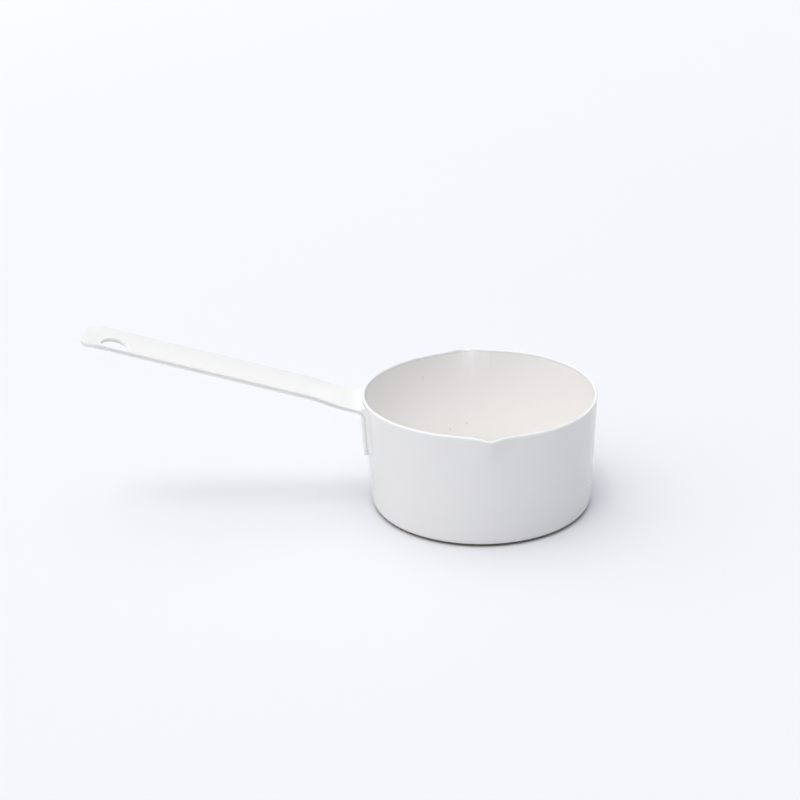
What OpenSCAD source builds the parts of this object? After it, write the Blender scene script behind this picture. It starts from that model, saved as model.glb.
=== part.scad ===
// Enamelled steel milk pan: a deep-drawn bowl with two pouring lips and a welded strap handle.
// Millimetres. +Z is up, the floor is z = 0, the bowl's axis is Z and the handle points along -X.

/* [Bowl] */
// Outside diameter over the rim
rim_d = 120; // [100:1:160]
// Height from the floor to the top of the rim
bowl_h = 60; // [48:0.5:90]
// Lean of the wall outward from the vertical, in degrees
wall_lean = 2.8; // [1:0.1:6]
// Outside radius of the corner between the wall and the base
corner_r = 4; // [3:0.5:10]

/* [Sheet and enamel] */
// Thickness of the bowl's steel sheet
bowl_sheet = 0.8; // [0.5:0.1:1]
// Thickness of the handle's steel strap
strap_sheet = 1.3; // [0.8:0.1:1.6]
// Thickness of the enamel on each face
enamel = 0.3; // [0.2:0.05:0.4]
// Height to which the dark ground coat shows at the foot of the wall
ground_coat_h = 1.7; // [0.8:0.1:2.5]

/* [Rim bead] */
// Depth of the enamel bead down both faces of the wall
bead_h = 1.6; // [1.2:0.1:3]
// Distance that the bead stands proud of the enamel on each face
bead_proud = 0.15; // [0.05:0.05:0.4]
// Enamel over the raw top edge of the sheet
bead_cap = 0.5; // [0.3:0.1:1]

/* [Pouring lips] */
// Reach of each lip beyond the rim
lip_reach = 3.4; // [2:0.2:7]
// Distance that the lip's crease runs down the wall
lip_drop = 14; // [10:1:20]
// Angle between the lip's centre line and each flank, in degrees
lip_half_angle = 62; // [50:1:70]
// Outside radius of the lip's nose
lip_nose_r = 3.4; // [2.5:0.1:5]

/* [Handle] */
// Width of the handle's strap, measured flat
handle_w = 28; // [20:1:34]
// Reach of the handle beyond the rim
handle_reach = 137; // [100:1:180]
// Rise of the handle above the horizontal, in degrees
handle_rise = 17.3; // [5:0.1:30]
// Distance from the top of the rim down to the top of the handle's bend
handle_drop = 2.5; // [2:0.1:12]
// Depth of the trough pressed along the handle
trough_depth = 3.5; // [1.5:0.1:5]
// Share of the trough's depth that is pressed down below the flat strap, the rest being raised edges
trough_sink = 0.5; // [0:0.1:1]
// Length of flat strap between the bend and the trough
trough_start = 7; // [4:0.5:20]
// Length over which the trough forms
trough_run = 19; // [10:1:40]
// Length over which the trough flattens out at the tip
tip_run = 10; // [8:1:20]
// Depth of the trough that is left at the tip
tip_trough = 2; // [0.2:0.1:2.5]
// Radius of the two corners at the tip
tip_corner_r = 12; // [5:0.5:12]
// Inside radius of the bend where the strap turns down onto the wall
bend_r = 4; // [1:0.5:5]
// Height of the strap's tab, from its lower end to the top of the bend
tab_h = 26; // [20:1:34]
// Radius of the tab's lower corners
tab_corner_r = 5; // [2:0.5:8]
// Radius to which the tab is bowed across its width, flatter than the wall behind it
tab_bow_r = 400; // [100:10:1000]

/* [Hanging hole] */
// Diameter of the hole
hole_d = 13.5; // [6:0.5:14]
// Distance from the tip of the handle to the centre of the hole
hole_from_tip = 16.5; // [12:0.5:30]

/* [Spot welds] */
// Diameter of a weld nugget
weld_d = 5; // [3:0.5:6]
// Depth of a weld nugget into each of the two sheets
weld_depth = 0.4; // [0.2:0.05:0.45]
// Distance between the two welds, one above the other
weld_pitch = 9; // [6:0.5:10]

/* [Clearances] */
// Gap between the tab's steel and the bowl's steel
seat_gap = 0.05; // [0.03:0.01:0.1]
// Gap between the tab's steel and the wall's enamel beside the bare strip that carries the welds
window_gap = 0.1; // [0.05:0.05:0.3]

/* [Hidden] */
$fn = 128;

// Distances inward from the outside enamel to the other faces of the wall
steel_out = enamel;
steel_in = steel_out + bowl_sheet;
cavity = steel_in + enamel;

// Room beyond a face that a cutting solid needs
beyond = 5;

// Outside enamel: the wall's radius at a height, and the centre of the corner's arc
wall_top_r = rim_d / 2 - bead_proud;
function wall_r(z) = wall_top_r - (bowl_h - z) * tan(wall_lean);
corner_x = wall_r(corner_r * (1 - sin(wall_lean))) - corner_r * cos(wall_lean);

// Lip: its tip at the rim, the lean of its crease from the vertical, and the flat bends round its nose
lip_tip_y = rim_d / 2 + lip_reach;
lip_lean = atan2(lip_tip_y - wall_r(bowl_h - lip_drop), lip_drop);
lip_foot = lip_drop / cos(lip_lean) + 2 * beyond;
lip_flank = 2 * (lip_reach + lip_nose_r) / cos(lip_half_angle);
nose_bends = 4;

// Strap: its seat on the bowl's steel, and the bend between tab and handle
function seat_r(z) = wall_r(z) + (seat_gap - steel_out) / cos(wall_lean);
wall_angle = 90 - wall_lean;
bend_face_r = bend_r + strap_sheet;
bend_turn = wall_angle - handle_rise;
bend_top_z = bowl_h - handle_drop;
bend_start_z = bend_top_z - bend_face_r * (cos(handle_rise) - cos(wall_angle));
bend_start_s = seat_r(bend_start_z);
bend_top_s = bend_start_s + bend_face_r * (sin(wall_angle) - sin(handle_rise));
tab_bottom_z = bend_top_z - tab_h;
tab_run = (bend_start_z - tab_bottom_z) / cos(wall_lean);
handle_run = (rim_d / 2 + handle_reach - bend_top_s) / cos(handle_rise);

// Across the strap: hollow side towards the wall on the tab, and upward along the handle
half_w = handle_w / 2;
function bend_of(depth) = let (q = depth / half_w) 2 * q * (1 + q * q / 3) / half_w;
function depth_of(bend) = (1 - cos(arc_angle(half_w * bend))) / bend;
function arc_angle(turn) = turn * 180 / PI;
trough_bend = bend_of(trough_depth);
tip_bend = bend_of(tip_trough);
tab_bend = 1 / tab_bow_r;

// The tip keeps at least this half width of straight edge between its corners
tip_flat = 1;
tip_round_r = min(tip_corner_r, half_w - tip_flat);

// The coat on the tab stops this far short of the face that lies on the bowl
coat_back = 0.05;
// The strap stands clear of the wall's enamel once its bend has turned this far
clear_turn = 35;
window_top_z = bend_start_z + bend_face_r * (cos(wall_angle - clear_turn) - cos(wall_angle));
// Beside the bare strip, the flat tab stands clear of the wall, which curves away from it
window_half = min(
  half_w + window_gap,
  sqrt(2 * (steel_out - seat_gap + window_gap) / (1 / bend_start_s - tab_bend))
);

// Steps along and across the strap
across_steps = 8;
corner_steps = 6;
bend_steps = 8;
trough_steps = 8;
tip_steps = 9;

weld_mid_z = (tab_bottom_z + bend_start_z) / 2;

// The space inside one face of the bowl, filled: inset is the distance inward from the outside enamel
module filled_bowl(inset, top) {
  arc_r = corner_r - inset;
  foot = [corner_x + arc_r * cos(wall_lean), corner_r - arc_r * sin(wall_lean)];
  head = [foot.x + (top - foot.y) * tan(wall_lean), top];
  rotate_extrude() {
    translate([corner_x, corner_r]) circle(arc_r);
    polygon([
      [0, corner_r - arc_r],
      [corner_x, corner_r - arc_r],
      [corner_x, corner_r],
      foot,
      head,
      [0, top]
    ]);
  }
  for (turn = [0, 180]) rotate(turn) filled_lip(inset);
}

// A pouring lip on the +Y side: a wedge that leans out along the crease, its nose rounded by flat bends
module filled_lip(inset) {
  nose_r = lip_nose_r - inset;
  bend = (180 - 2 * lip_half_angle) / nose_bends;
  nose = [
    for (i = [0:nose_bends - 1])
      let (turn = lip_half_angle + bend * (i + 0.5))
        nose_r / cos(bend / 2) * [cos(turn), sin(turn)]
  ];
  tail = nose[0] + lip_flank * [sin(lip_half_angle), -cos(lip_half_angle)];
  translate([0, lip_tip_y, bowl_h])
    rotate([-lip_lean, 0, 0])
      translate([0, -lip_nose_r, -lip_foot])
        linear_extrude(lip_foot + beyond)
          polygon(concat([tail], nose, [[-tail.x, tail.y]]));
}

// One layer of the bowl, between two insets and two heights
module bowl_layer(outer, inner, low, high) {
  side = 2 * (rim_d + lip_reach);
  intersection() {
    difference() {
      filled_bowl(outer, bowl_h + beyond);
      filled_bowl(inner, bowl_h + 2 * beyond);
    }
    translate([-side / 2, -side / 2, low]) cube([side, side, high - low]);
  }
}

module bowl_sheet_blank() {
  bowl_layer(steel_out, steel_in, 0, bowl_h - bead_cap);
}

// Half width of a strap at a distance from its rounded end
function end_half_w(w, r, from_end) =
  from_end >= r ? w : w - r + sqrt(r * r - pow(r - from_end, 2));

function ease(t) = let (c = min(max(t, 0), 1)) c * c * (3 - 2 * c);

// Trough along the handle: how sharply the strap is bent across its width
function handle_bend(along, from_tip) =
  let (formed = tab_bend + (trough_bend - tab_bend) * ease((along - trough_start) / trough_run))
  formed + (tip_bend - formed) * ease(1 - from_tip / tip_run);

// How far the middle of the trough lies below the line of the flat strap
function sunk(bend) = trough_sink * (depth_of(bend) - depth_of(tab_bend));

// Stations of the strap, each [distance from the axis, height, slope, cross bend, half width, top, bottom].
// inset is 0 for the coated strap and the enamel's thickness for its steel.
function strap_stations(inset, tab_top, handle_top, bottom) =
  let (
    w = half_w - inset,
    tab_r = tab_corner_r - inset,
    tip_r = tip_round_r - inset,
    run = handle_run - inset,
    tip_from = max(tip_run, tip_r)
  ) [
    for (i = [0:corner_steps])
      let (
        q = tab_r * (1 - cos(90 * i / corner_steps)),
        z = bend_start_z - (tab_run - inset - q) * cos(wall_lean)
      ) [seat_r(z), z, wall_angle, tab_bend, end_half_w(w, tab_r, q), tab_top, bottom],
    for (i = [0:bend_steps])
      let (
        done = i / bend_steps,
        slope = wall_angle - bend_turn * done,
        s = bend_start_s + bend_face_r * (sin(wall_angle) - sin(slope)),
        z = bend_start_z + bend_face_r * (cos(slope) - cos(wall_angle))
      ) [s, z, slope, tab_bend, w, tab_top + (handle_top - tab_top) * done, bottom],
    for (i = [0:trough_steps])
      strap_station(trough_start + trough_run * i / trough_steps, run, w, tip_r, handle_top, bottom),
    for (i = [0:tip_steps])
      strap_station(run - tip_from * (1 - sin(90 * i / tip_steps)), run, w, tip_r, handle_top, bottom)
  ];

function strap_station(along, run, w, tip_r, top, bottom) =
  let (
    bend = handle_bend(along, run - along),
    low = sunk(bend)
  ) [
    bend_top_s + along * cos(handle_rise) + low * sin(handle_rise),
    bend_top_z + along * sin(handle_rise) - low * cos(handle_rise),
    handle_rise,
    bend,
    end_half_w(w, tip_r, run - along),
    top,
    bottom
  ];

// The closed outline of the strap at one station: its hollow face from side to side, then back below
function strap_ring(station) =
  let (
    r = 1 / station[3],
    half_arc = arc_angle(station[4] / r),
    points = across_steps + 1
  ) [
    for (i = [0:2 * points - 1])
      let (
        hollow = i < points,
        step = hollow ? i : 2 * points - 1 - i,
        turn = half_arc * (2 * step / across_steps - 1),
        arc_r = r - (hollow ? station[5] : station[6]),
        up = r - arc_r * cos(turn)
      ) [
        -(station[0] - up * sin(station[2])),
        arc_r * sin(turn),
        station[1] + up * cos(station[2])
      ]
  ];

module strap_solid(stations) {
  around = 2 * (across_steps + 1);
  last = around * (len(stations) - 1);
  points = [for (station = stations) each strap_ring(station)];
  sides = [
    for (j = [0:len(stations) - 2], i = [0:around - 1])
      let (
        a = j * around + i,
        b = j * around + (i + 1) % around
      ) each [[a, b + around, b], [a, a + around, b + around]]
  ];
  ends = [
    for (i = [0:across_steps - 1])
      let (
        a = i,
        b = i + 1,
        c = around - 2 - i,
        d = around - 1 - i
      ) each [
        [a, b, c],
        [a, c, d],
        [last + a, last + c, last + b],
        [last + a, last + d, last + c]
      ]
  ];
  polyhedron(points, concat(sides, ends));
}

module steel_strap() {
  strap_solid(strap_stations(enamel, 0, 0, -strap_sheet));
}

module coated_strap() {
  strap_solid(strap_stations(0, -coat_back, enamel, -strap_sheet - enamel));
}

// The hanging hole, square to the handle
module hanging_hole() {
  along = handle_run - hole_from_tip;
  translate([
    -(bend_top_s + along * cos(handle_rise)),
    0,
    bend_top_z + along * sin(handle_rise)
  ])
    rotate([0, handle_rise, 0])
      cylinder(d = hole_d, h = 4 * beyond, center = true);
}

// The bare strip of the wall, where the tab lies on the steel
module tab_window() {
  low = tab_bottom_z - window_gap;
  translate([-rim_d / 2 - beyond, -window_half, low])
    cube([rim_d / 4, 2 * window_half, window_top_z - low]);
}

module weld_nuggets() {
  for (row = [-1, 1]) {
    z = weld_mid_z + row * weld_pitch / 2;
    translate([weld_depth - wall_r(z) + steel_out / cos(wall_lean), 0, z])
      rotate([0, -90, 0])
        cylinder(d = weld_d, h = 2 * weld_depth + seat_gap);
  }
}

// The deep-drawn steel bowl
module bowl_shell() {
  color("slategray")
    difference() {
      bowl_sheet_blank();
      weld_nuggets();
    }
}

// White enamel on the floor and the inside of the wall
module inside_enamel() {
  color("floralwhite")
    bowl_layer(steel_in, cavity, 0, bowl_h - bead_h);
}

// White enamel on the outside of the wall
module outside_enamel() {
  color("whitesmoke")
    difference() {
      bowl_layer(0, steel_out, ground_coat_h, bowl_h - bead_h);
      tab_window();
    }
}

// The bead of enamel over the rim's raw edge
module rim_bead() {
  color("white")
    difference() {
      bowl_layer(-bead_proud, cavity + bead_proud, bowl_h - bead_h, bowl_h);
      bowl_sheet_blank();
    }
}

// The dark ground coat under the base, which meets the floor
module base_coat() {
  color("dimgray")
    bowl_layer(0, steel_out, 0, ground_coat_h);
}

// The pressed steel strap: tab, bend, trough and rounded tip
module handle_strap() {
  color("lightslategray")
    difference() {
      steel_strap();
      hanging_hole();
      weld_nuggets();
    }
}

// White enamel all over the strap, apart from the face of the tab that lies on the bowl
module handle_enamel() {
  color("snow")
    difference() {
      coated_strap();
      steel_strap();
      hanging_hole();
    }
}

// The weld nuggets that join the tab to the bowl
module spot_welds() {
  color("gray") weld_nuggets();
}

bowl_shell();
inside_enamel();
outside_enamel();
rim_bead();
base_coat();
handle_strap();
handle_enamel();
spot_welds();
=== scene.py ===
# %% [markdown]
# # A white enamelled milk pan
# The real pan is two pressings of thin steel, a bowl and a strap handle, spot-welded together and then
# fired under white glass. The solids already hold its form and sizes, so this lesson only dresses them:
# every mesh below is drawn in the same frame, in metres, with the bowl's axis on Z and the handle on -X.

# %% Load the solids
import math

import bmesh
import bpy
from mathutils import Matrix, Vector


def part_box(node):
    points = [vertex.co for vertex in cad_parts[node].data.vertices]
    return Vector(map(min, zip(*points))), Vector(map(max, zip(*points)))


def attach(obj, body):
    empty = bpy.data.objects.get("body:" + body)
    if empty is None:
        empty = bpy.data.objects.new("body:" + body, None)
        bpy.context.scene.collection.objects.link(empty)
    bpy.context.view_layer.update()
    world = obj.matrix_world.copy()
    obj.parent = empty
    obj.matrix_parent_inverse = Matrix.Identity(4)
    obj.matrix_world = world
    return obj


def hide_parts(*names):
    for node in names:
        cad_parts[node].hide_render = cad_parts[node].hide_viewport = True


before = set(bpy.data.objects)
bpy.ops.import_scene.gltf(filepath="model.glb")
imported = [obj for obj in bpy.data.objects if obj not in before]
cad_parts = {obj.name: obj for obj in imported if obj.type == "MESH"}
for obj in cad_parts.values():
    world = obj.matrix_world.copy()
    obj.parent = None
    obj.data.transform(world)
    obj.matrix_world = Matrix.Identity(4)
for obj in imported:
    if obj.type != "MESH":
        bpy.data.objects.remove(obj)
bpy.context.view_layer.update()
print("solids:", sorted(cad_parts))

# %% [markdown]
# ## Sizes
# A modeller could type every size again, but then the looks could drift away from the solids. Here the
# bowl's big sizes are read from the boxes of the solids, and what a box can't show, such as the coat, the
# sheet and later the handle's line, is written down. All lengths are in millimetres until a mesh is made.

# %% Sizes of the bowl
MM = 0.001

bead_low, bead_high = (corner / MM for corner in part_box("rim_bead"))
foot_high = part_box("base_coat")[1] / MM
RIM_R = (bead_high.x - bead_low.x) / 2
BOWL_H = bead_high.z
BEAD_H = bead_high.z - bead_low.z
FOOT_H = foot_high.z

COAT = 0.3
SHEET = 0.8
BEAD_PROUD = 0.15
BEAD_CAP = 0.5
WALL_LEAN = math.radians(2.8)
CORNER_R = 4.0

print(f"rim {2 * RIM_R:.1f} mm across, bowl {BOWL_H:.1f} mm high, bead {BEAD_H:.1f} mm, foot {FOOT_H:.1f} mm")

# %% [markdown]
# ## Camera
# The pan was seen from a little above, through a short telephoto lens. The place and the angles come from
# fitting the ellipses of the rim and the foot. A matrix is built from three turns, read from right to left:
# roll about the lens, tip down from the horizon, then swing about Z.

# %% Place the camera
CAMERA_AT = Vector((-80.79, -785.12, 381.2)) * MM
LOOKS_DOWN = math.radians(22.42)
LOOKS_RIGHT = math.radians(2.934)
ROLL = math.radians(1.454)
LENS = 75.22
SENSOR = 36.0
NEAREST = 0.05

camera_data = bpy.data.cameras.new("camera")
camera_data.lens = LENS
camera_data.sensor_width = SENSOR
camera_data.clip_start = NEAREST
camera = bpy.data.objects.new("camera", camera_data)
camera.matrix_world = (
    Matrix.Translation(CAMERA_AT)
    @ Matrix.Rotation(-LOOKS_RIGHT, 4, "Z")
    @ Matrix.Rotation(math.pi / 2 - LOOKS_DOWN, 4, "X")
    @ Matrix.Rotation(-ROLL, 4, "Z")
)
bpy.context.scene.collection.objects.link(camera)
bpy.context.scene.camera = camera
bpy.context.scene.view_settings.view_transform = "Standard"
print(f"camera {CAMERA_AT.length:.2f} m from the foot of the bowl")

# %% [markdown]
# ## Helpers for materials
# A material is a small graph of nodes. These helpers keep the graphs short: one adds a node and fills in
# its sockets, one adds a sum, one mixes two colours, and one starts a material and hands back its shader.

# %% Node helpers
def add_node(tree, kind, **inputs):
    """A new node, with each input either joined to another node's output or set to a value."""
    node = tree.nodes.new(kind)
    for name, value in inputs.items():
        key = int(name[1:]) if name[1:].isdigit() else name.replace("_", " ")
        if isinstance(value, bpy.types.NodeSocket):
            tree.links.new(value, node.inputs[key])
        else:
            node.inputs[key].default_value = value
    return node


def add_math(tree, operation, *values):
    """The output of a new sum node."""
    node = add_node(tree, "ShaderNodeMath", **{f"_{i}": value for i, value in enumerate(values)})
    node.operation = operation
    return node.outputs["Value"]


def mix_colours(tree, share, first, second):
    """The output of a new node that mixes two colours, each a value or another node's output."""
    mix = add_node(tree, "ShaderNodeMix", Factor=share)
    mix.data_type = "RGBA"
    for socket, colour in ((mix.inputs["A"], first), (mix.inputs["B"], second)):
        if isinstance(colour, bpy.types.NodeSocket):
            tree.links.new(colour, socket)
        else:
            socket.default_value = (*colour, 1)
    return mix.outputs["Result"]


def start_material(name):
    """A new material with its node tree and its main shader."""
    material = bpy.data.materials.new(name)
    material.use_nodes = True
    tree = material.node_tree
    return material, tree, tree.nodes["Principled BSDF"]


print("node helpers ready")

# %% [markdown]
# ## Floor
# The pan stands on a smooth pale sheet, a touch bluer than the glass. One big plane would do. Its paint
# brightens slowly towards the back left as painted light, for the tent's light that is stronger from the
# left, and a faint cloudiness varies its tone at random.

# %% Lay the floor
FLOOR_HALF = 4.0
FLOOR_SHADED_COLOUR = (0.845, 0.848, 0.87)
FLOOR_LIT_COLOUR = (0.92, 0.922, 0.933)
FLOOR_TOWARDS_LIT = Vector((-0.35, 0.3, 0))
FLOOR_CLOUDS = 0.1
FLOOR_CLOUDS_PER_M = 3.0
FLOOR_ROUGHNESS = 0.9
FLOOR_SHEEN = 0.1

floor_mesh = bpy.data.meshes.new("floor")
floor_mesh.from_pydata(
    [(x * FLOOR_HALF, y * FLOOR_HALF, 0) for x, y in ((-1, -1), (1, -1), (1, 1), (-1, 1))],
    [],
    [(0, 1, 2, 3)],
)
floor = bpy.data.objects.new("floor", floor_mesh)
bpy.context.scene.collection.objects.link(floor)

floor_paint, tree, shader = start_material("floor_paint")
place = add_node(tree, "ShaderNodeTexCoord").outputs["Object"]
reach = add_node(tree, "ShaderNodeVectorMath", _0=place, _1=FLOOR_TOWARDS_LIT)
reach.operation = "DOT_PRODUCT"
cloud = add_node(tree, "ShaderNodeTexNoise", Vector=place, Scale=FLOOR_CLOUDS_PER_M, Detail=1.0)
# The brightening towards the back left is painted light; the cloudiness is random tone.
share = add_math(tree, "MULTIPLY_ADD", cloud.outputs["Fac"], FLOOR_CLOUDS, reach.outputs["Value"])
tint = mix_colours(tree, share, FLOOR_SHADED_COLOUR, FLOOR_LIT_COLOUR)
tree.links.new(tint, shader.inputs["Base Color"])
shader.inputs["Roughness"].default_value = FLOOR_ROUGHNESS
shader.inputs["Specular IOR Level"].default_value = FLOOR_SHEEN
floor_mesh.materials.append(floor_paint)
print("floor", 2 * FLOOR_HALF, "m square")

# %% [markdown]
# ## Light
# The room is a white tent: nearly all the light falls softly from above, more from the left than from the
# right, and one lamp, softer than the sun, gives the faint shadow under the handle. The light is bluer low
# down and on the shade side. A dome can be painted with an image, but the sum of two gradients along the
# sky's own direction needs only a few nodes. Rays that see the sky straight or reflected get plain white.

# %% Light the tent
SKY_LOW = 0.22
SKY_UP = 1.53
SKY_SIDE = 0.46
SKY_SIDE_FROM = Vector((-1, 0.05, 0))
SKY_LOW_COLOUR = (0.82, 0.94, 1.14)
SKY_UP_COLOUR = (1.01, 1.0, 0.985)
SKY_SIDE_TINT = 0.8
SKY_LEAST = 0.1
SEEN_SKY_COLOUR = (0.94, 0.95, 0.98, 1)
LAMP_STRENGTH = 0.37
LAMP_SPREAD = math.radians(17)
LAMP_FROM = Vector((-0.16, -0.27, 1))

world = bpy.data.worlds.new("tent")
bpy.context.scene.world = world
world.use_nodes = True
tree = world.node_tree
sky = tree.nodes["Background"]
direction = add_node(tree, "ShaderNodeTexCoord").outputs["Generated"]
height = add_node(tree, "ShaderNodeSeparateXYZ", Vector=direction).outputs["Z"]
squared = add_math(tree, "MULTIPLY", height, height)
upward = add_math(tree, "MULTIPLY_ADD", squared, SKY_UP, SKY_LOW)
sideways = add_node(tree, "ShaderNodeVectorMath", _0=direction, _1=SKY_SIDE_FROM.normalized() * SKY_SIDE)
sideways.operation = "DOT_PRODUCT"
level = add_math(tree, "ADD", upward, sideways.outputs["Value"])
tree.links.new(add_math(tree, "MAXIMUM", level, SKY_LEAST), sky.inputs["Strength"])
warmth = add_math(tree, "MULTIPLY_ADD", sideways.outputs["Value"], SKY_SIDE_TINT, height)
tree.links.new(mix_colours(tree, warmth, SKY_LOW_COLOUR, SKY_UP_COLOUR), sky.inputs["Color"])

white = add_node(tree, "ShaderNodeBackground", Color=SEEN_SKY_COLOUR, Strength=1.0)
ray = add_node(tree, "ShaderNodeLightPath").outputs
seen = add_math(tree, "MAXIMUM", ray["Is Camera Ray"], ray["Is Glossy Ray"])
seen_through = add_math(tree, "MAXIMUM", seen, ray["Is Transmission Ray"])
both = add_node(
    tree,
    "ShaderNodeMixShader",
    _0=seen_through,
    _1=sky.outputs["Background"],
    _2=white.outputs["Background"],
)
tree.links.new(both.outputs["Shader"], tree.nodes["World Output"].inputs["Surface"])

lamp_data = bpy.data.lights.new("overhead_lamp", "SUN")
lamp_data.energy = LAMP_STRENGTH
lamp_data.angle = LAMP_SPREAD
lamp = bpy.data.objects.new("overhead_lamp", lamp_data)
lamp.rotation_euler = LAMP_FROM.to_track_quat("Z", "Y").to_euler()
bpy.context.scene.collection.objects.link(lamp)
print("sky from", SKY_LOW, "at the horizon to", SKY_LOW + SKY_UP, "overhead")

# %% [markdown]
# ## The form of the bowl
# The bowl is drawn from a flat disc: a flat floor, a tight corner and a wall that leans out a little. Then
# a punch pushes a pouring lip into the rim on each side. A sculpted lip would be hard to repeat on five
# layers, so the lip is a formula instead, which every layer uses, so that they all nest. A pressed bowl is
# seldom quite round, so this one is a little egg-shaped at the rim, and narrow and off centre at the foot,
# each by less than a millimetre.

# %% Wall and lips
LIP_REACH = bead_high.y - RIM_R
LIP_DROP = 18.0
LIP_FADE = 1.6
LIP_HALF_ANGLE = math.radians(13)
LIP_TURN = math.radians(1)
LIP_NARROWING = 0.35
LIP_NOSE = 0.2
LIP_SHOULDER = 1.6
LIP_DIP = 0.8
LIP_DIP_ANGLE = math.radians(3.2)
EGG = 2.4
FOOT_SHIFT = Vector((0.6, -0.4))
FOOT_NARROW = 0.8
FOOT_NARROW_H = 12.0
CORNER_X = RIM_R - BEAD_PROUD - (BOWL_H - CORNER_R * (1 - math.sin(WALL_LEAN))) * math.tan(WALL_LEAN)
CORNER_X -= CORNER_R * math.cos(WALL_LEAN)


def ease(share):
    """A smooth step from 0 to 1."""
    share = min(max(share, 0), 1)
    return share * share * (3 - 2 * share)


def wall_r(height):
    """Radius of the wall's outer skin at a height."""
    return RIM_R - BEAD_PROUD - (BOWL_H - height) * math.tan(WALL_LEAN)


def out_of_round(turn, height):
    """How far the wall stands out from a true circle at an angle round the bowl and a height."""
    along, across = math.cos(turn), math.sin(turn)
    down = 1 - height / BOWL_H
    at_rim = EGG * along * across**2
    at_foot = FOOT_SHIFT.x * along + FOOT_SHIFT.y * across
    narrow = FOOT_NARROW * along**2 * max(0, 1 - height / FOOT_NARROW_H) ** 2
    return at_rim * (1 - down) + at_foot * down - narrow


def lip_offset(turn):
    """Angle from the middle of the nearer lip."""
    middle = math.copysign(math.pi / 2 + LIP_TURN, math.sin(turn))
    return (turn - middle + math.pi) % (2 * math.pi) - math.pi


def lip_push(turn, height):
    """How far a pouring lip pushes the wall out and its edge down, at an angle and a height."""
    below = (BOWL_H - height) / LIP_DROP
    if below >= 1:
        return 0.0, 0.0
    off = lip_offset(turn)
    half = LIP_HALF_ANGLE * (1 - LIP_NARROWING * below)
    bent = math.hypot(off / half, LIP_NOSE) - LIP_NOSE
    share = min(1, bent / (math.hypot(1, LIP_NOSE) - LIP_NOSE))
    out = LIP_REACH * (1 - below) ** LIP_FADE * (1 - share) ** LIP_SHOULDER
    down = LIP_DIP * (1 - below) ** 2 * math.exp(-((off / LIP_DIP_ANGLE) ** 2))
    return out, down


print(f"each lip reaches {LIP_REACH:.2f} mm past the rim")

# %% [markdown]
# ## Turning a profile into a layer
# A layer of the bowl is a line spun round the axis, as on a potter's wheel. Blender's Screw modifier spins
# a line too, but it can't push out the lips on the way, so the rings are laid one by one with bmesh. Their
# points crowd together at the lips, where the form turns fast.

# %% Spin a layer
TURNS = 480
CROWDING = 0.55
FLOOR_RINGS = 6
CORNER_RINGS = 8
WALL_RINGS = 18
SHARP = math.radians(35)


def turn_angles():
    """Angles round the bowl, crowded towards the two lips."""
    even = (2 * math.pi * i / TURNS for i in range(TURNS))
    return [t + CROWDING / 2 * math.sin(2 * t) for t in even]


def bowl_line(inset, low, high):
    """Points (radius, height) up one skin of the bowl, at a distance inside its outer skin."""
    arc_r = CORNER_R - inset
    line = []
    start = -math.pi / 2
    if low is None:
        line = [(CORNER_X * i / FLOOR_RINGS, inset) for i in range(FLOOR_RINGS)]
    else:
        start = math.asin(max(-1, (low - CORNER_R) / arc_r))
    end = min(-WALL_LEAN, math.asin(max(-1, min(0, (high - CORNER_R) / arc_r))))
    for i in range(CORNER_RINGS + 1):
        turn = start + (end - start) * i / CORNER_RINGS
        line.append((CORNER_X + arc_r * math.cos(turn), CORNER_R + arc_r * math.sin(turn)))
    foot = line[-1][1]
    if high > foot + COAT:
        for i in range(1, WALL_RINGS + 1):
            height = foot + (high - foot) * (1 - (1 - i / WALL_RINGS) ** 2)
            line.append((wall_r(height) - inset / math.cos(WALL_LEAN), height))
    return line


def finish_mesh(name, bm):
    """An object from a bmesh: normals outward, smooth, with the sharp edges kept sharp."""
    bmesh.ops.recalc_face_normals(bm, faces=bm.faces)
    for face in bm.faces:
        face.smooth = True
    for edge in bm.edges:
        edge.smooth = edge.calc_face_angle(math.pi) < SHARP
    mesh = bpy.data.meshes.new(name)
    bm.to_mesh(mesh)
    bm.free()
    piece = bpy.data.objects.new(name, mesh)
    bpy.context.scene.collection.objects.link(piece)
    return piece


def spin_layer(name, line, swell=None, swells_from=0):
    """A closed layer of the bowl, spun from points (radius, height). Swell thickens it from one point on."""
    bm = bmesh.new()
    rings = []
    for step, (radius, height) in enumerate(line):
        if radius == 0:
            rings.append([bm.verts.new((0, 0, height * MM))])
            continue
        ring = []
        for turn in turn_angles():
            out, down = lip_push(turn, height)
            r = radius + out + out_of_round(turn, height) * radius / RIM_R
            if swell and step >= swells_from:
                r -= swell(turn, height)
            ring.append(bm.verts.new(Vector((r * math.cos(turn), r * math.sin(turn), height - down)) * MM))
        rings.append(ring)
    whole = rings if len(rings[0]) == 1 else rings + rings[:1]
    for lower, upper in zip(whole, whole[1:]):
        for i in range(TURNS):
            corners = [lower[i % len(lower)], lower[(i + 1) % len(lower)]]
            corners += [upper[(i + 1) % len(upper)], upper[i % len(upper)]]
            bm.faces.new(list(dict.fromkeys(corners)))
    piece = finish_mesh(name, bm)
    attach(piece, "root")
    print(f"{name}: {len(piece.data.polygons)} faces")
    return piece


print("each layer has", TURNS, "points round the bowl")

# %% [markdown]
# ## Steel bowl
# The steel is buried under the glass everywhere, but it is drawn as a layer of its own, so that the coats
# have something to lie on if someone hides them.

# %% Spin the steel bowl
bowl_steel = spin_layer(
    "bowl_steel",
    bowl_line(COAT, None, BOWL_H - BEAD_CAP) + bowl_line(COAT + SHEET, None, BOWL_H - BEAD_CAP)[::-1],
)
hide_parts("bowl_shell")
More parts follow.
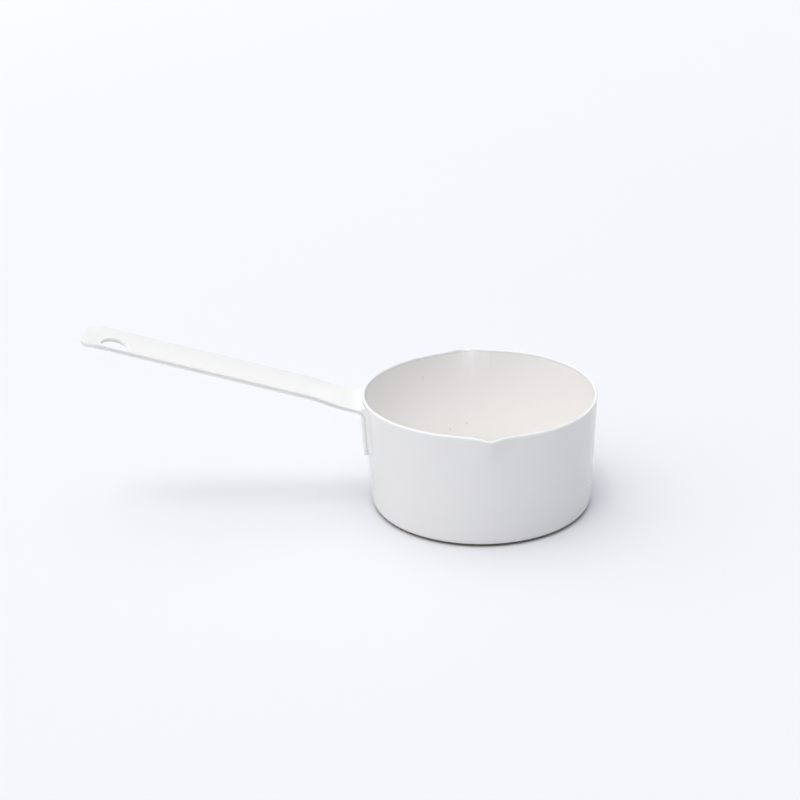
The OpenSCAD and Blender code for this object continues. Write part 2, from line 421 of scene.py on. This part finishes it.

# %% [markdown]
# ## Coats of the bowl
# The inside coat runs over the floor and up the wall, the outside coat covers the wall, and the dark ground
# coat shows under the foot, where the white was wiped off; its dark band round the foot also stands in for
# the contact shade under the rounded corner. They are three spun layers. Below the back lip, three runs of
# wet glass crept down the inside before the firing, so the skin swells along three lines.

# %% Spin the coats
RUNS = ((math.radians(91.4), 20.0), (math.radians(86.6), 25.0), (math.radians(78.5), 16.0))
RUN_HALF = math.radians(1.2)
RUN_END = 8.0
RUN_THICK = 0.4


def glass_runs(turn, height):
    """Thickness of the runs of glass below the back lip."""
    thick = 0
    for middle, length in RUNS:
        left = ease((height - BOWL_H + length) / RUN_END)
        thick += RUN_THICK * left * math.exp(-(((turn - middle) / RUN_HALF) ** 2))
    return thick


inside_back = bowl_line(COAT + SHEET, None, BOWL_H - BEAD_H)
inside_skin = bowl_line(2 * COAT + SHEET, None, BOWL_H - BEAD_H)
inside_coat = spin_layer("inside_coat", inside_back + inside_skin[::-1], glass_runs, len(inside_back))
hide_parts("inside_enamel")

outside_coat = spin_layer(
    "outside_coat",
    bowl_line(0, FOOT_H, BOWL_H - BEAD_H) + bowl_line(COAT, FOOT_H, BOWL_H - BEAD_H)[::-1],
)
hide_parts("outside_enamel")

foot_coat = spin_layer(
    "foot_coat",
    bowl_line(0, None, FOOT_H) + bowl_line(COAT, None, FOOT_H)[::-1],
)
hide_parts("base_coat")

# %% [markdown]
# ## Rim bead
# Glass draws itself into a round bead over the raw edge of the sheet. Its section is a half circle on top,
# two sides that fade into the wall, and a groove underneath that fits the steel.

# %% Spin the rim bead
BEAD_RINGS = 10


def bead_line():
    """The bead's section: up the outside, over the top, down the inside and round the groove."""
    wall = 2 * COAT + SHEET
    half = wall / 2 + BEAD_PROUD
    low = BOWL_H - BEAD_H
    round_from = BOWL_H - half
    middle = wall_r(round_from) - wall / 2
    line = []
    for side in (1, -1):
        rise = []
        for i in range(BEAD_RINGS // 2):
            share = i / (BEAD_RINGS // 2)
            swell = BEAD_PROUD * ease(share)
            height = low + (round_from - low) * share
            rise.append((wall_r(height) - wall / 2 + side * (wall / 2 + swell), height))
        line.append(rise)
    cap = []
    for i in range(2 * BEAD_RINGS + 1):
        turn = math.pi * i / (2 * BEAD_RINGS)
        cap.append((middle + half * math.cos(turn), round_from + half * math.sin(turn)))
    top = BOWL_H - BEAD_CAP
    groove = [
        (wall_r(height) - inset / math.cos(WALL_LEAN), height)
        for inset, height in ((COAT + SHEET, low), (COAT + SHEET, top), (COAT, top), (COAT, low))
    ]
    return line[0] + cap + line[1][::-1] + groove


rim_roll = spin_layer("rim_roll", bead_line())
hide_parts("rim_bead")

# %% [markdown]
# ## Form of the handle
# The handle is a strip of steel. Its lower end lies on the wall as a tab, a tight bend turns it outward,
# and from there it rises in a straight line while a press hollows it into a shallow trough. One function
# gives the line of the strip. The tip's corners are a little squarer than those of the solids, because the
# near edge seems to run on almost to the tip.

# %% Handle sizes and line
HANDLE_W = 28.0
HANDLE_REACH = 137.0
HANDLE_RISE = math.radians(17.3)
HANDLE_DROP = 2.5
STRAP = 1.3
TROUGH = 3.5
TROUGH_SINK = 0.5
TROUGH_START = 7.0
TROUGH_RUN = 19.0
TIP_TROUGH = 2.0
TIP_RUN = 10.0
TIP_CORNER_R = 8.0
BEND_R = 4.0
TAB_H = 26.0
TAB_CORNER_R = 5.0
TAB_BOW_R = 400.0
SEAT_GAP = 0.05
HOLE_R = 6.75
HOLE_FROM_TIP = 16.5

WALL_ANGLE = math.pi / 2 - WALL_LEAN
FACE_R = BEND_R + STRAP
BEND_TOP_Z = BOWL_H - HANDLE_DROP
BEND_START_Z = BEND_TOP_Z - FACE_R * (math.cos(HANDLE_RISE) - math.cos(WALL_ANGLE))


def seat_r(height):
    """Radius of the strap's face where it lies on the steel of the wall."""
    return wall_r(height) + (SEAT_GAP - COAT) / math.cos(WALL_LEAN)


BEND_START_S = seat_r(BEND_START_Z)
BEND_TOP_S = BEND_START_S + FACE_R * (math.sin(WALL_ANGLE) - math.sin(HANDLE_RISE))
TAB_RUN = (BEND_START_Z - BEND_TOP_Z + TAB_H) / math.cos(WALL_LEAN)
BEND_RUN = FACE_R * (WALL_ANGLE - HANDLE_RISE)
HANDLE_RUN = (RIM_R + HANDLE_REACH - BEND_TOP_S) / math.cos(HANDLE_RISE)


def hollow_of(depth):
    """How sharply the strip is bent across its width, for a trough of this depth."""
    share = depth / (HANDLE_W / 2)
    return 2 * share * (1 + share * share / 3) / (HANDLE_W / 2)


def depth_of(cross):
    """Depth of the trough when the strip is bent this sharply across its width."""
    return (1 - math.cos(HANDLE_W / 2 * cross)) / cross


def strap_line(along):
    """Distance from the axis, height, slope and cross bend of the strip, at a distance along it."""
    flat = 1 / TAB_BOW_R
    if along < 0:
        height = BEND_START_Z + along * math.cos(WALL_LEAN)
        return seat_r(height), height, WALL_ANGLE, flat
    if along < BEND_RUN:
        slope = WALL_ANGLE - along / FACE_R
        out = BEND_START_S + FACE_R * (math.sin(WALL_ANGLE) - math.sin(slope))
        height = BEND_START_Z + FACE_R * (math.cos(slope) - math.cos(WALL_ANGLE))
        return out, height, slope, flat
    run = along - BEND_RUN
    formed = flat + (hollow_of(TROUGH) - flat) * ease((run - TROUGH_START) / TROUGH_RUN)
    cross = formed + (hollow_of(TIP_TROUGH) - formed) * ease(1 - (HANDLE_RUN - run) / TIP_RUN)
    low = TROUGH_SINK * (depth_of(cross) - depth_of(flat))
    out = BEND_TOP_S + run * math.cos(HANDLE_RISE) + low * math.sin(HANDLE_RISE)
    return out, BEND_TOP_Z + run * math.sin(HANDLE_RISE) - low * math.cos(HANDLE_RISE), HANDLE_RISE, cross


print(f"handle {HANDLE_RUN:.1f} mm long past its bend, tab {TAB_RUN:.1f} mm")

# %% [markdown]
# ## Glass on the strip
# The tab is nearly flat and the wall is round, so a wedge opens beside the tab, and a groove over the bend.
# Wet glass fills both. A square with rounded corners is a handy formula for the fill over the bend. A point
# on the coated strip then has a distance along it, one across it and a level between its two faces.

# %% Coat the strip
FILL_POWER = 12
FILL_RISE = 3.0
FILL_ENDS = 0.75
TAB_BACK_COAT = 0.7


def wedge(height, across):
    """Gap between the flat tab and the round wall behind it."""
    wall = wall_r(height)
    skin = wall + out_of_round(math.pi - math.asin(across / wall), height)
    wall_falls_back = wall - math.sqrt(skin**2 - across**2)
    return wall_falls_back - across**2 / 2 / TAB_BOW_R - (wall - seat_r(height))


def hollow_coat(along, across, height):
    """Thickness of glass on the hollow side: it fills the wedge by the tab and the groove over the bend."""
    if along >= BEND_RUN:
        return COAT
    gap = max(wedge(min(height, BEND_START_Z), across), -SEAT_GAP)
    if along < 0:
        return gap
    turn = along / FACE_R
    end = BEND_RUN / FACE_R
    to_wall = FACE_R + gap
    to_top = (FACE_R + COAT) * math.sin(end) + FILL_RISE * (1 - turn / end)
    squareness = (math.cos(turn) / to_wall) ** FILL_POWER + (math.sin(turn) / to_top) ** FILL_POWER
    filled = squareness ** (-1 / FILL_POWER) - FACE_R
    return filled + (COAT - filled) * ease((turn / end - FILL_ENDS) / (1 - FILL_ENDS))


def glass_lift(along, across, level):
    """Height above the steel's hollow side. level is 1 on the hollow side of the coat and 0 on its back."""
    back_coat = TAB_BACK_COAT + (COAT - TAB_BACK_COAT) * ease(along / BEND_RUN)
    height = strap_line(along)[1]
    return hollow_coat(along, across, height) * level - (STRAP + back_coat) * (1 - level)


def strap_point(along, across, level):
    """A point on the coated strip, in metres."""
    out, height, slope, cross = strap_line(along)
    bend_r = 1 / cross
    turn = across / bend_r
    arc_r = bend_r - glass_lift(along, across, level)
    up = bend_r - arc_r * math.cos(turn)
    return Vector((up * math.sin(slope) - out, arc_r * math.sin(turn), height + up * math.cos(slope))) * MM


print(f"glass {COAT} mm thick on the handle and {TAB_BACK_COAT} mm on the tab")

# %% [markdown]
# ## Blank for the handle
# The maker stamps a flat blank first: straight sides, round corners and the hanging hole. A grid gives the
# sides, its rows crowding into the round ends. Melted glass rounds every edge of the strip, so each of its
# faces is a little smaller than the strip itself, apart from the tab's, where glass runs out onto the wall
# in a fillet. Share says how far the outline has gone that way, from 0 at the middle of the edge to 1 on a
# face, and the same functions then lay out a face or any line along the rounded edge.

# %% Lay out the blank
COLUMNS = 20
END_ROWS = 12
ROW_STEP = 1.5
HOLE_COLUMNS = 14
HOLE_ROWS = 12
TAB_ROUND = 0.5
TAB_FILLET = 1.2
EDGE_ROUND = 0.7

BLANK_FROM = -TAB_RUN
BLANK_TO = BEND_RUN + HANDLE_RUN
HOLE_AT = BLANK_TO - HOLE_FROM_TIP


def half_width(along, share, on_tab):
    """Half the width of the blank at a distance along it. on_tab is the inset of the tab's outline."""
    inset = share * (on_tab + (EDGE_ROUND - on_tab) * ease(along / BEND_RUN))
    half = HANDLE_W / 2 - inset
    from_tab = along - BLANK_FROM - inset
    from_tip = BLANK_TO - along - inset
    for corner, end in ((TAB_CORNER_R - inset, from_tab), (TIP_CORNER_R - inset, from_tip)):
        if end < corner:
            return half - corner + math.sqrt(max(0, corner**2 - (corner - end) ** 2))
    return half


def blank_rows(share, on_tab):
    """Distances along the blank: fine rows in the ends and the bend, even rows between."""
    tab_r = TAB_CORNER_R - share * on_tab
    tab_to = BLANK_FROM + TAB_CORNER_R
    hole_from = HOLE_AT - HOLE_ROWS / 2 * ROW_STEP
    hole_to = HOLE_AT + HOLE_ROWS / 2 * ROW_STEP
    stretches = [
        (tab_to, -ROW_STEP, ROW_STEP),
        (-ROW_STEP, BEND_RUN + ROW_STEP, ROW_STEP / 5),
        (BEND_RUN + ROW_STEP, hole_from, ROW_STEP),
        (hole_from, hole_to, ROW_STEP),
    ]
    rows = [tab_to - tab_r * math.cos(math.pi / 2 * i / END_ROWS) for i in range(END_ROWS)]
    for start, end, step in stretches:
        count = max(1, round((end - start) / step))
        rows += [start + (end - start) * i / count for i in range(count)]
    tip_run = BLANK_TO - share * EDGE_ROUND - hole_to
    return rows + [hole_to + tip_run * math.sin(math.pi / 2 * i / END_ROWS) for i in range(END_ROWS + 1)]


def blank_grid(share, hollow_side):
    """Rows of spots on the blank, each (along, across)."""
    on_tab = -TAB_FILLET if hollow_side else TAB_ROUND
    columns = [2 * j / COLUMNS - 1 for j in range(COLUMNS + 1)]
    rows = blank_rows(share, on_tab)
    return [[(along, half_width(along, share, on_tab) * column) for column in columns] for along in rows]


def outline_of(grid):
    """The spots round the edge of a grid, in order."""
    right = [row[-1] for row in grid[1:]]
    left = [row[0] for row in grid[-2:0:-1]]
    return grid[0] + right + grid[-1][-2::-1] + left


print(len(blank_grid(1, True)), "rows along the blank,", COLUMNS, "columns across")

# %% [markdown]
# ## Faces of the handle
# The blank is laid out twice, once for the hollow side and once for the back, and both are pressed to shape
# as they are placed. A hole cut with a Boolean would leave long thin faces, so a square of the grid is left
# out instead, and rings of quads lead from that square to the round hole. Glass runs thin at the edges,
# and shade falls in the crease beside the tab, under the near edge and on the far wall of the hole, so each
# point also stores how dark a painted line of shade and thin glass makes it, for the material to use.

# %% Faces of the handle
HOLE_RINGS = 5
RING_CROWDING = 0.8
HOLE_COAT = 0.2
# These place a painted grey line along the edge: painted shade in the crease by the tab and under the edge,
# and partly the darker look of thin glass.
LINE_LIFT = -0.3
TAB_LINE = 0.36
HANDLE_LINE = 0.8


def lay_spot(bm, spot, level, shade_and_thin):
    """A pressed point of the handle, with how dark its painted line of shade and thin glass is."""
    point = bm.verts.new(strap_point(*spot, level))
    point[bm.verts.layers.float["shade_and_thin_glass"]] = shade_and_thin
    return point


def edge_shade_and_thinness(along, across, level):
    """How dark the edge is painted, for shade and thin glass: along a narrow line on the tab, and a wider one
    on the handle.
    """
    formed = ease(along / (BEND_RUN + TROUGH_START + TROUGH_RUN))
    half = TAB_LINE + (HANDLE_LINE - TAB_LINE) * formed
    return math.exp(-(((glass_lift(along, across, level) - LINE_LIFT) / half) ** 2))


def hole_square(grid):
    """Rows and columns of the grid's spots round the square that holds the hole."""
    rows = [row[0][0] for row in grid]
    first_row = min(range(len(rows)), key=lambda i: abs(rows[i] - HOLE_AT + HOLE_ROWS / 2 * ROW_STEP))
    last_row = first_row + HOLE_ROWS
    first_column = (COLUMNS - HOLE_COLUMNS) // 2
    last_column = first_column + HOLE_COLUMNS
    square = [(first_row, j) for j in range(first_column, last_column)]
    square += [(i, last_column) for i in range(first_row, last_row)]
    square += [(last_row, j) for j in range(last_column, first_column, -1)]
    return square + [(i, first_column) for i in range(last_row, first_row, -1)]


def towards_hole(spot, radius, share):
    """A spot moved towards the round hole, all the way when share is 1."""
    along, across = spot[0] - HOLE_AT, spot[1]
    scale = 1 + (radius / math.hypot(along, across) - 1) * share
    return HOLE_AT + along * scale, across * scale


def join_loops(bm, outer, inner):
    """A band of quads between two closed loops of points."""
    for i in range(len(outer)):
        k = (i + 1) % len(outer)
        bm.faces.new([outer[i], outer[k], inner[k], inner[i]])


def lay_face(bm, level):
    """One face of the strip. Returns the loops of points round its outline and its hole."""
    grid = blank_grid(1, level == 1)
    square = hole_square(grid)
    (first_row, first_column), (last_row, last_column) = min(square), max(square)
    laid = []
    for i, row in enumerate(grid):
        inside = first_row < i < last_row
        kept = [not (inside and first_column < j < last_column) for j in range(len(row))]
        laid.append([lay_spot(bm, spot, level, 0) if keep else None for spot, keep in zip(row, kept)])
    for i in range(len(grid) - 1):
        for j in range(COLUMNS):
            if not (first_row <= i < last_row and first_column <= j < last_column):
                bm.faces.new([laid[i][j], laid[i][j + 1], laid[i + 1][j + 1], laid[i + 1][j]])
    ring = [laid[i][j] for i, j in square]
    for step in range(1, HOLE_RINGS + 1):
        share = (step / HOLE_RINGS) ** RING_CROWDING
        spots = [towards_hole(grid[i][j], HOLE_R - HOLE_COAT + EDGE_ROUND, share) for i, j in square]
        inner = [lay_spot(bm, spot, level, 0) for spot in spots]
        join_loops(bm, ring, inner)
        ring = inner
    return outline_of(laid), ring


print("each face has", HOLE_RINGS, "rings of quads round its hole")

# %% [markdown]
# ## Coated handle
# With the two faces in place, bands of quads roll over the outer edge and through the hole. The bands follow
# a half circle, so the melted edge is round. Twenty-four bands keep the painted dark line of shade and thin
# glass on the tab narrow.

# %% Press the handle
EDGE_BANDS = 24
# The far wall of the hole gets a painted band of shade, with a little of the darker look of thin glass.
HOLE_SHADE = 0.4
HOLE_LINE_AT = 0.75
HOLE_LINE = 0.25

bm = bmesh.new()
bm.verts.layers.float.new("shade_and_thin_glass")
hollow_edge, hollow_hole = lay_face(bm, 1)
back_edge, back_hole = lay_face(bm, 0)
for band in range(1, EDGE_BANDS):
    turn = math.pi * band / EDGE_BANDS
    level = (1 + math.cos(turn)) / 2
    grid = blank_grid(1 - math.sin(turn), level > 0.5)
    edge = [lay_spot(bm, s, level, edge_shade_and_thinness(*s, level)) for s in outline_of(grid)]
    hole_r = HOLE_R - HOLE_COAT + EDGE_ROUND * (1 - math.sin(turn))
    spots = [towards_hole(grid[i][j], hole_r, 1) for i, j in hole_square(grid)]
    # A painted band of shade on the far wall of the hole.
    hole_shade = HOLE_SHADE * math.exp(-(((level - HOLE_LINE_AT) / HOLE_LINE) ** 2))
    hole = [lay_spot(bm, s, level, hole_shade) for s in spots]
    join_loops(bm, hollow_edge, edge)
    join_loops(bm, hollow_hole, hole)
    hollow_edge, hollow_hole = edge, hole
join_loops(bm, hollow_edge, back_edge)
join_loops(bm, hollow_hole, back_hole)
handle_coat = finish_mesh("handle_coat", bm)
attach(handle_coat, "root")
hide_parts("handle_enamel")
print("handle_coat:", len(handle_coat.data.polygons), "faces")

# %% [markdown]
# ## White enamel
# Enamel is opaque white glass. It is smooth, so its roughness is low, but never perfect: the firing leaves
# a faint waviness a few millimetres long and a finer orange peel, and the white drifts a little towards
# cream. Three specks of kiln dust are fired into the inside. One function makes every white in the pan, but
# each piece gets its own white: the lighter whites inside and on the handle are painted light, the darker
# white outside is painted shade, and the rim's white sits between them.

# %% Mix the enamel
SPECKS_AT = ((100.9, 15.5), (91.1, 18.1), (116.4, 48.3))
SPECK_R = 0.7
SPECK_COLOUR = (0.72, 0.67, 0.63)
# The grey painted into the handle's edge and hole: painted shade, and partly the darker look of thin glass.
SHADE_AND_THIN_COLOUR = (0.72, 0.72, 0.71)
DRIFTS_PER_M = 45.0
WAVES_PER_M = 160.0
WAVE_DEPTH = 0.3
WAVE_STRENGTH = 0.12
PEEL_PER_M = 900.0
PEEL_DEPTH = 0.1
PEEL_STRENGTH = 0.1
SMOOTHEST = 0.8
ROUGHEST = 1.3
GLASS_IOR = 1.52


def inside_spot(degrees, height):
    """A point on the inside of the wall, in metres."""
    turn = math.radians(degrees)
    inset = (2 * COAT + SHEET) / math.cos(WALL_LEAN)
    r = wall_r(height) - inset + lip_push(turn, height)[0] + out_of_round(turn, height)
    return Vector((r * math.cos(turn), r * math.sin(turn), height)) * MM


def white_enamel(name, colour, cream, roughness, shade_and_thin=None, specks=()):
    """Glossy white glass with a slow drift of colour, waves from the firing and a fine orange peel."""
    material, tree, shader = start_material(name)
    place = add_node(tree, "ShaderNodeTexCoord").outputs["Object"]
    drift = add_node(tree, "ShaderNodeTexNoise", Vector=place, Scale=DRIFTS_PER_M, Detail=3.0)
    tint = mix_colours(tree, drift.outputs["Fac"], colour, cream)
    # A stored share mixes in the grey: painted shade in the crease by the tab, under the edge and in the
    # hole, partly thin glass.
    if shade_and_thin:
        stored = add_node(tree, "ShaderNodeAttribute")
        stored.attribute_name = "shade_and_thin_glass"
        tint = mix_colours(tree, stored.outputs["Fac"], tint, shade_and_thin)
    for speck in specks:
        away = add_node(tree, "ShaderNodeVectorMath", _0=place, _1=inside_spot(*speck))
        away.operation = "DISTANCE"
        dark = add_node(tree, "ShaderNodeMapRange", Value=away.outputs["Value"])
        dark.inputs["From Min"].default_value = SPECK_R * MM
        dark.inputs["From Max"].default_value = 0.0
        tint = mix_colours(tree, dark.outputs["Result"], tint, SPECK_COLOUR)
    tree.links.new(tint, shader.inputs["Base Color"])
    waves = add_node(tree, "ShaderNodeTexNoise", Vector=place, Scale=WAVES_PER_M, Detail=1.0)
    peel = add_node(tree, "ShaderNodeTexNoise", Vector=place, Scale=PEEL_PER_M, Detail=1.0)
    wave_bump = add_node(
        tree,
        "ShaderNodeBump",
        Height=waves.outputs["Fac"],
        Strength=WAVE_STRENGTH,
        Distance=WAVE_DEPTH * MM,
    )
    peel_bump = add_node(
        tree,
        "ShaderNodeBump",
        Height=peel.outputs["Fac"],
        Normal=wave_bump.outputs["Normal"],
        Strength=PEEL_STRENGTH,
        Distance=PEEL_DEPTH * MM,
    )
    tree.links.new(peel_bump.outputs["Normal"], shader.inputs["Normal"])
    gloss = add_node(tree, "ShaderNodeMapRange", Value=waves.outputs["Fac"])
    gloss.inputs["To Min"].default_value = roughness * SMOOTHEST
    gloss.inputs["To Max"].default_value = roughness * ROUGHEST
    tree.links.new(gloss.outputs["Result"], shader.inputs["Roughness"])
    shader.inputs["IOR"].default_value = GLASS_IOR
    return material


# One enamel, given lighter whites inside and on the handle as painted light, and a darker white outside as
# painted shade.
inside_white = white_enamel(
    "inside_white", (0.967, 0.946, 0.926), (0.952, 0.928, 0.906), 0.16, specks=SPECKS_AT
)
outside_white = white_enamel("outside_white", (0.88, 0.862, 0.845), (0.865, 0.845, 0.825), 0.14)
rim_white = white_enamel("rim_white", (0.92, 0.915, 0.905), (0.905, 0.90, 0.89), 0.12)
handle_white = white_enamel(
    "handle_white", (0.955, 0.94, 0.92), (0.94, 0.925, 0.903), 0.15, shade_and_thin=SHADE_AND_THIN_COLOUR
)
for piece, white in (
    (inside_coat, inside_white),
    (outside_coat, outside_white),
    (rim_roll, rim_white),
    (handle_coat, handle_white),
):
    piece.data.materials.append(white)
print("four whites mixed")

# %% [markdown]
# ## Ground coat and steel
# The ground coat is the dark first firing. It is duller than the white and burnt in patches, and its dark
# band round the foot also stands in for the contact shade under the rounded corner. Its lowest millimetre is
# a lighter brown, painted warm bounce light where it meets the table. The bare steel inside is a grey metal
# with the fine lines of rolling.

# %% Mix the ground coat and the steel
# The lowest millimetre of the foot is painted brown as warm bounce light from the table.
FOOT_BOUNCE_TO = 1.1
FOOT_BOUNCE_BROWN = (0.42, 0.24, 0.16)
GROUND_COLOUR = (0.035, 0.034, 0.038)
BURNT_COLOUR = (0.10, 0.075, 0.055)
SHEET_COLOUR = (0.45, 0.45, 0.46)
WELD_COLOUR = (0.32, 0.31, 0.32)
BURNS_PER_M = 120.0
GROUND_ROUGHNESS = 0.45
STEEL_ROUGHNESS = 0.38
LINE_SHADE = 0.7
LINES_PER_M = (60.0, 2500.0, 2500.0)


def ground_coat_and_foot_shade():
    """Blue-black glass, dull and burnt in patches, also standing in for the contact shade at the foot, with
    painted warm bounce light in a lighter brown where it meets the table.
    """
    material, tree, shader = start_material("ground_coat")
    place = add_node(tree, "ShaderNodeTexCoord").outputs["Object"]
    burn = add_node(tree, "ShaderNodeTexNoise", Vector=place, Scale=BURNS_PER_M, Detail=4.0)
    tint = mix_colours(tree, burn.outputs["Fac"], GROUND_COLOUR, BURNT_COLOUR)
    height = add_node(tree, "ShaderNodeSeparateXYZ", Vector=place).outputs["Z"]
    # The brown towards the table is painted light, a warm bounce from the table.
    bounce_share = add_node(tree, "ShaderNodeMapRange", Value=height)
    bounce_share.inputs["From Min"].default_value = FOOT_BOUNCE_TO * MM
    bounce_share.inputs["From Max"].default_value = 0.0
    tint = mix_colours(tree, bounce_share.outputs["Result"], tint, FOOT_BOUNCE_BROWN)
    tree.links.new(tint, shader.inputs["Base Color"])
    shader.inputs["Roughness"].default_value = GROUND_ROUGHNESS
    return material


def rolled_steel(name, colour):
    """Grey sheet steel with fine lines along X."""
    material, tree, shader = start_material(name)
    place = add_node(tree, "ShaderNodeTexCoord").outputs["Object"]
    stretched = add_node(tree, "ShaderNodeMapping", Vector=place, Scale=LINES_PER_M)
    lines = add_node(tree, "ShaderNodeTexNoise", Vector=stretched.outputs["Vector"], Scale=1.0, Detail=3.0)
    shaded = [LINE_SHADE * part for part in colour]
    tint = mix_colours(tree, lines.outputs["Fac"], colour, shaded)
    tree.links.new(tint, shader.inputs["Base Color"])
    shader.inputs["Metallic"].default_value = 1.0
    shader.inputs["Roughness"].default_value = STEEL_ROUGHNESS
    return material


foot_coat.data.materials.append(ground_coat_and_foot_shade())
bowl_steel.data.materials.append(rolled_steel("bowl_steel", SHEET_COLOUR))
for node, colour in (("handle_strap", SHEET_COLOUR), ("spot_welds", WELD_COLOUR)):
    metal = rolled_steel(node + "_steel", colour)
    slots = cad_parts[node].data.materials
    for i in range(len(slots)):
        slots[i] = metal
print("ground coat and steel mixed")
